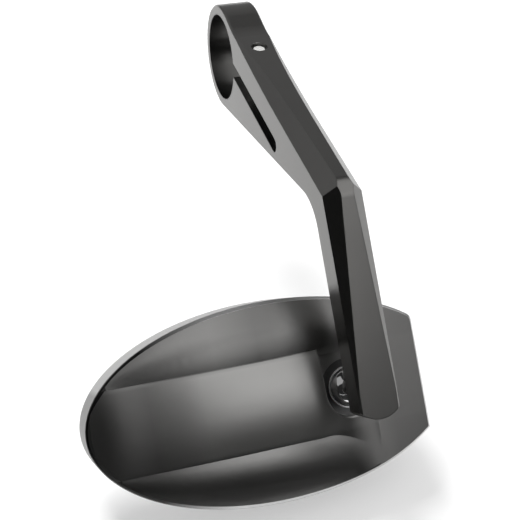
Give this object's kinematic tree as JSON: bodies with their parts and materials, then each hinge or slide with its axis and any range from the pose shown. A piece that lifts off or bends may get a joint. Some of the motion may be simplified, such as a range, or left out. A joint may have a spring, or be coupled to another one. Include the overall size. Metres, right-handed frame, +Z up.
{
  "type": "motorcycle mirror",
  "caption": "Bar-end motorcycle mirror: a slit clamp ring on a cranked arm carries an oval, three-lobed head on a ball joint.",
  "frame": {"origin": "centre of the clamp ring's bore, on the axis of the handlebar and in the middle plane of the arm", "axes": "+X along the handlebar axis away from the head, -Y along the upper arm away from the bar, +Z up"},
  "size_m": [0.0784, 0.1218, 0.0715],
  "materials": {
    "arm_alloy": "dark anodised, satin",
    "head_alloy": "dark anodised, satin",
    "screw_steel": "plated",
    "stud_chrome": "polished",
    "race_steel": "turned",
    "plug_alloy": "turned",
    "liner_plastic": "moulded",
    "pad_rubber": "foam",
    "seal_rubber": "matte",
    "mirror_glass": "silvered"
  },
  "bodies": {
    "arm": {"clamp_arm": "arm_alloy", "clamp_screw": "screw_steel", "ball_stud": "stud_chrome", "stud_lock_screw": "screw_steel"},
    "lower_liner": {"seat_lower": "liner_plastic"},
    "upper_liner": {"seat_upper": "liner_plastic"},
    "head": {"mirror_housing": "head_alloy", "ball_race": "race_steel", "pressure_cup": "race_steel", "disc_spring": "race_steel", "retaining_plug": "plug_alloy", "glass_pad": "pad_rubber", "mirror_glass": "mirror_glass", "glass_seal": "seal_rubber"}
  },
  "joints": [
    {"name": "head_pan", "type": "hinge", "parent": "arm", "child": "lower_liner", "pos_m": [0, -0.08934, -0.03369], "axis": [0, -0.7071, -0.7071], "range_deg": [-15, 15]},
    {"name": "head_tilt", "type": "hinge", "parent": "lower_liner", "child": "upper_liner", "pos_m": [0, -0.08934, -0.03369], "axis": [1, 0, 0], "range_deg": [-15, 15]},
    {"name": "head_spin", "type": "hinge", "parent": "upper_liner", "child": "head", "pos_m": [0, -0.08934, -0.03369], "axis": [0, -0.7071, 0.7071], "range_deg": [-20, 20]}
  ]
}
